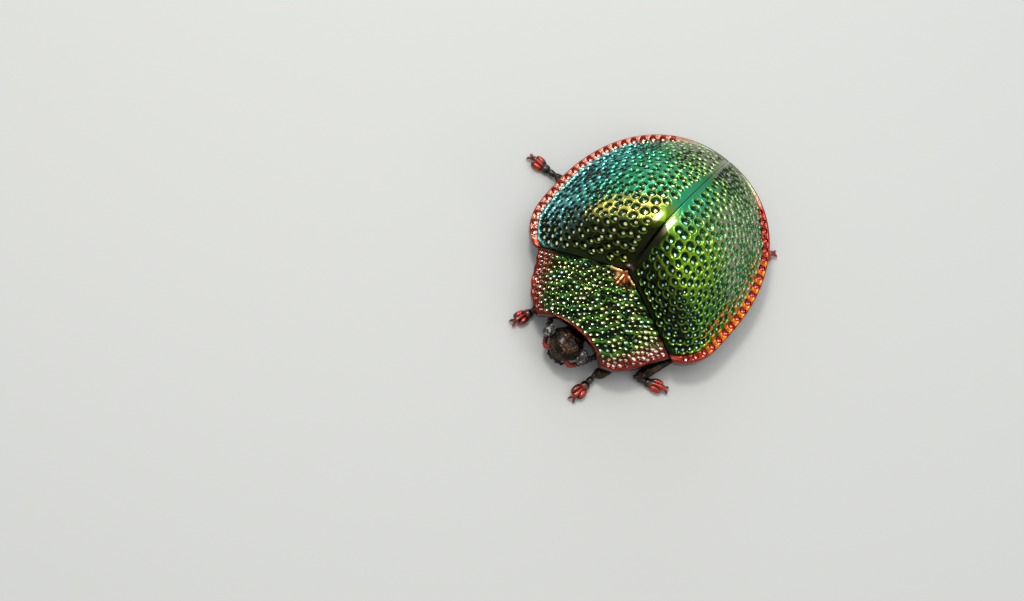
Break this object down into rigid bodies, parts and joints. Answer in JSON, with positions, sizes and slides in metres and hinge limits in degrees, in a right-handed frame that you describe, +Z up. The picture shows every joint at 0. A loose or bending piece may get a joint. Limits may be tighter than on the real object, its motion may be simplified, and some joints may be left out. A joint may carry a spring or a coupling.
{
  "type": "tortoise beetle model",
  "caption": "Life-size still model of a coarsely pitted, metallic green and copper tortoise beetle, standing flat on its feet with its feelers folded back.",
  "frame": {"origin": "middle of the footprint, on the floor", "axes": "+Z up, head towards -Y, the beetle's own left towards +X"},
  "size_m": [0.0134, 0.0146, 0.0059],
  "materials": {
    "wing_metal": "metallic green, coarsely pitted",
    "shield_metal": "metallic copper and green, densely pitted",
    "eye_shell": "gloss, finely faceted",
    "leg_shell": "satin bronze",
    "body_shell": "satin dark bronze"
  },
  "bodies": {
    "root": {"shield": "shield_metal", "fore_body": "body_shell", "scutellum": "shield_metal", "wing_case_left": "wing_metal", "wing_case_right": "wing_metal", "mid_body": "body_shell", "abdomen": "body_shell", "head": "body_shell", "eye_left": "eye_shell", "eye_right": "eye_shell", "feeler_left": "leg_shell", "feeler_right": "leg_shell", "thigh_front_right": "body_shell", "shin_front_right": "leg_shell", "foot_front_right": "leg_shell", "thigh_front_left": "body_shell", "shin_front_left": "leg_shell", "foot_front_left": "leg_shell", "thigh_middle_right": "body_shell", "shin_middle_right": "leg_shell", "foot_middle_right": "leg_shell", "thigh_middle_left": "body_shell", "shin_middle_left": "leg_shell", "foot_middle_left": "leg_shell", "thigh_hind_right": "body_shell", "shin_hind_right": "leg_shell", "foot_hind_right": "leg_shell", "thigh_hind_left": "body_shell", "shin_hind_left": "leg_shell", "foot_hind_left": "leg_shell"}
  },
  "joints": []
}
